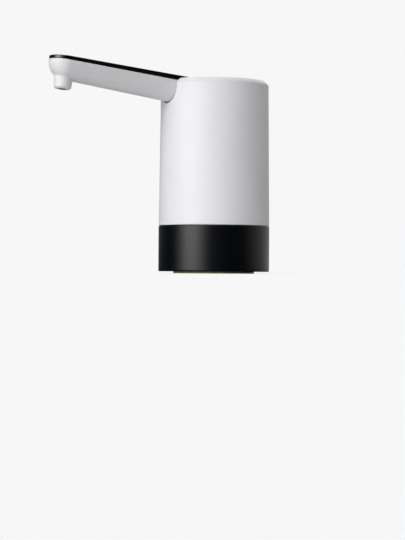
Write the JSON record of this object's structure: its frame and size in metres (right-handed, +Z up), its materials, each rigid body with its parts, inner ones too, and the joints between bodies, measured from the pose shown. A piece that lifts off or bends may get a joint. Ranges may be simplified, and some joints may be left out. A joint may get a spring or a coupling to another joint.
{
  "type": "electric water jug pump",
  "caption": "Battery water pump that stands on a jug's neck: tapered body with a foot ring, a side spout arm, a push button, a gear pump, a motor and a charging port under a flap.",
  "frame": {"origin": "centre of the flat face inside the foot that seats on the jug's neck", "axes": "+Z up along the body's axis, the spout arm along -X, the charging port at +X"},
  "size_m": [0.1508, 0.071, 0.1334],
  "materials": {
    "white_shell": "glossy moulded ABS",
    "white_insert": "satin moulded plastic",
    "black_ring": "satin black ABS",
    "black_strip": "gloss black plastic",
    "black_button": "satin black plastic",
    "light_guide": "clear frosted plastic",
    "neck_rubber": "pale yellow silicone",
    "cover_rubber": "white rubber",
    "pump_plastic": "natural acetal",
    "gear_plastic": "natural acetal",
    "seal_rubber": "black rubber",
    "hose_silicone": "translucent silicone",
    "steel": "bright steel",
    "screw_steel": "zinc-plated steel",
    "ferrite": "sintered ferrite",
    "copper": "enamelled copper",
    "bell_plastic": "black moulded plastic",
    "cell_wrap": "shrink-wrapped cell",
    "cradle_plastic": "dark moulded plastic",
    "nickel": "nickel strip",
    "board_green": "solder-masked board",
    "component_black": "moulded component",
    "plunger_plastic": "grey moulded plastic",
    "lamp": "clear epoxy",
    "lead_red": "red insulation",
    "lead_black": "black insulation"
  },
  "bodies": {
    "root": {"arm_screw_1": "screw_steel", "arm_screw_2": "screw_steel", "arm_top_plate": "black_strip", "base_ring": "black_ring", "base_screw_1": "screw_steel", "base_screw_2": "screw_steel", "base_screw_3": "screw_steel", "battery_cell": "cell_wrap", "battery_cradle": "cradle_plastic", "battery_lead_black": "lead_black", "battery_lead_red": "lead_red", "body_shell": "white_shell", "cell_tab_minus": "nickel", "cell_tab_plus": "nickel", "charge_lead": "lead_red", "circuit_board": "board_green", "control_chip": "component_black", "delivery_hose": "hose_silicone", "driven_gear_pin": "steel", "hose_clamp": "steel", "indicator_ring": "light_guide", "inlet_oring": "seal_rubber", "motor_can": "steel", "motor_end_bell": "bell_plastic", "motor_lead_black": "lead_black", "motor_lead_red": "lead_red", "motor_magnet_far": "ferrite", "motor_magnet_near": "ferrite", "motor_plate": "steel", "motor_screw_1": "screw_steel", "motor_screw_2": "screw_steel", "neck_seal": "neck_rubber", "nozzle": "white_insert", "pump_cover": "pump_plastic", "pump_gasket": "seal_rubber", "pump_housing": "pump_plastic", "pump_mount_screw_1": "screw_steel", "pump_mount_screw_2": "screw_steel", "pump_screw_1": "screw_steel", "pump_screw_2": "screw_steel", "pump_screw_3": "screw_steel", "pump_screw_4": "screw_steel", "shaft_seal": "seal_rubber", "spout_arm": "white_shell", "status_light": "lamp", "tact_switch": "component_black", "top_cap": "white_shell", "usb_board": "board_green", "usb_cover_anchor": "cover_rubber", "usb_socket": "steel"},
    "button": {"power_button": "black_button", "switch_plunger": "plunger_plastic"},
    "rotor": {"motor_shaft": "steel", "drive_gear": "gear_plastic", "motor_armature": "steel", "motor_windings": "copper", "motor_commutator": "copper"},
    "idler": {"driven_gear": "gear_plastic"},
    "port_cover": {"usb_port_cover": "cover_rubber"}
  },
  "joints": [
    {"name": "button_press", "type": "slide", "parent": "root", "child": "button", "axis": [-0.1045, 0, -0.9945], "range_m": [0, 0.0006], "stiffness_N_per_m": 1500},
    {"name": "rotor_spin", "type": "hinge", "parent": "root", "child": "rotor", "pos_m": [0.008, -0.0125, 0], "axis": [0, 0, 1], "continuous": true},
    {"name": "idler_spin", "type": "hinge", "parent": "root", "child": "idler", "pos_m": [0.008, -0.0025, 0], "axis": [0, 0, 1], "continuous": true},
    {"name": "port_cover_hinge", "type": "hinge", "parent": "root", "child": "port_cover", "pos_m": [0.0346, 0, 0.0229], "axis": [0, 1, 0], "range_deg": [0, 95]}
  ],
  "couplings": [
    {"joint": "idler_spin", "follows": "rotor_spin", "ratio": -1}
  ]
}
